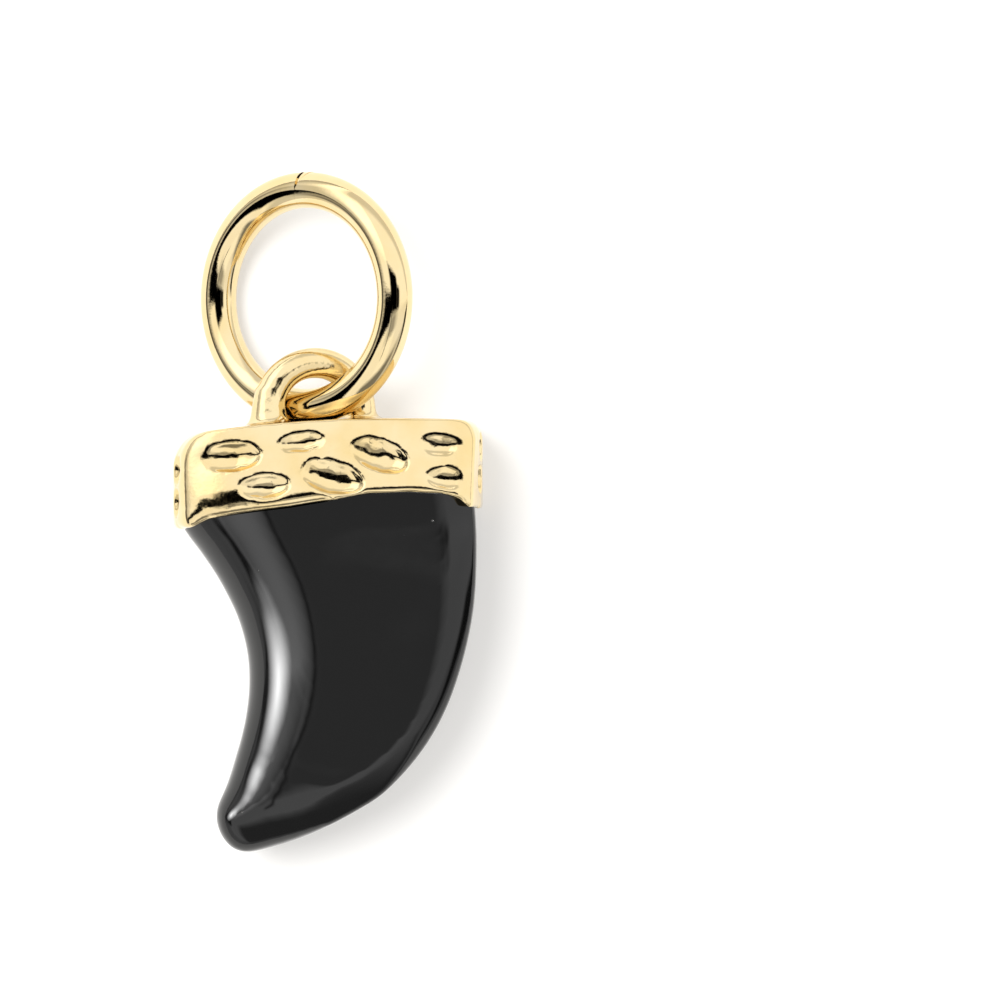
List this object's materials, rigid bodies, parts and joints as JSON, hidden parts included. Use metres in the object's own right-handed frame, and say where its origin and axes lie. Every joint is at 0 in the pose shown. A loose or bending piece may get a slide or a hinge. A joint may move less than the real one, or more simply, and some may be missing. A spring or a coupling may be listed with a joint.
{
  "type": "fang pendant",
  "caption": "Small fang pendant: hammered gold-plated cap with a loop, claw coated in glossy black enamel, on a jump ring.",
  "frame": {"origin": "middle of the pendant's box, on the surface that it lies on", "axes": "+X across the claw towards its outer curve, +Y from the claw's tip towards the jump ring, +Z out of its front"},
  "size_m": [0.0086, 0.0188, 0.0045],
  "materials": {
    "gold_plate": "polished, plated in pale gold",
    "black_enamel": "high gloss",
    "gold_wire": "polished, plated in pale gold"
  },
  "bodies": {
    "root": {"cap_casting": "gold_plate", "enamel_fang": "black_enamel", "jump_ring": "gold_wire"}
  },
  "joints": []
}
